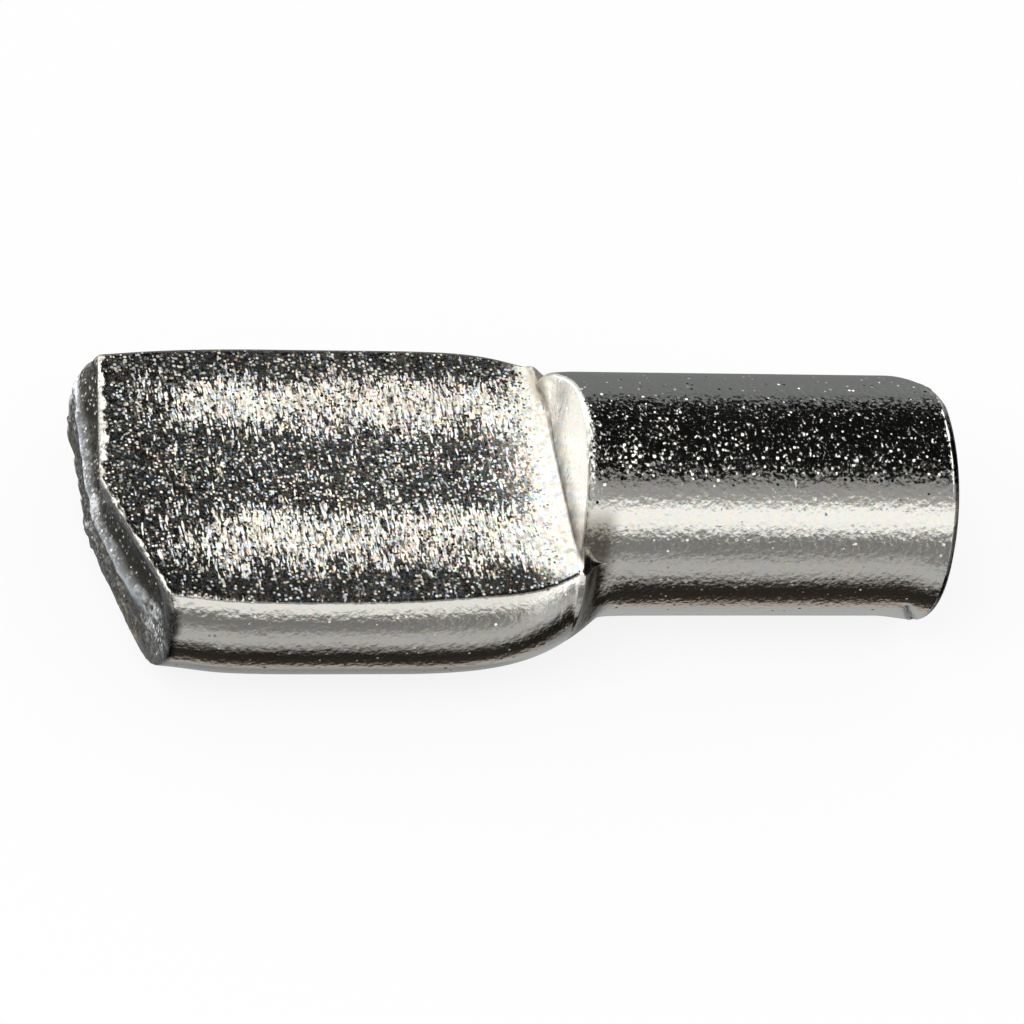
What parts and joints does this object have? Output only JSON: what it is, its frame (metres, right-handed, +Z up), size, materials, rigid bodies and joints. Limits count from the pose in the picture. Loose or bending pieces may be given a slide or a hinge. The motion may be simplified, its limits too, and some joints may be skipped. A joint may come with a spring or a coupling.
{
  "type": "shelf support pin",
  "caption": "Spoon-pattern shelf support pin: a round insert and a pressed, flat-topped paddle that carries the shelf, cold-formed from plated steel wire.",
  "frame": {"origin": "on the insert's axis, at the vertical step where the bearing face ends and the cabinet side's face comes", "axes": "+X along the insert towards its cut tip, +Z up out of the bearing face that carries the shelf, +Y across the paddle"},
  "size_m": [0.0176, 0.0076, 0.005],
  "materials": {
    "plated_steel": "bright nickel plating over cold-pressed steel, with a fine sparkle and light orange peel"
  },
  "bodies": {
    "root": {"shelf_pin": "plated_steel"}
  },
  "joints": []
}
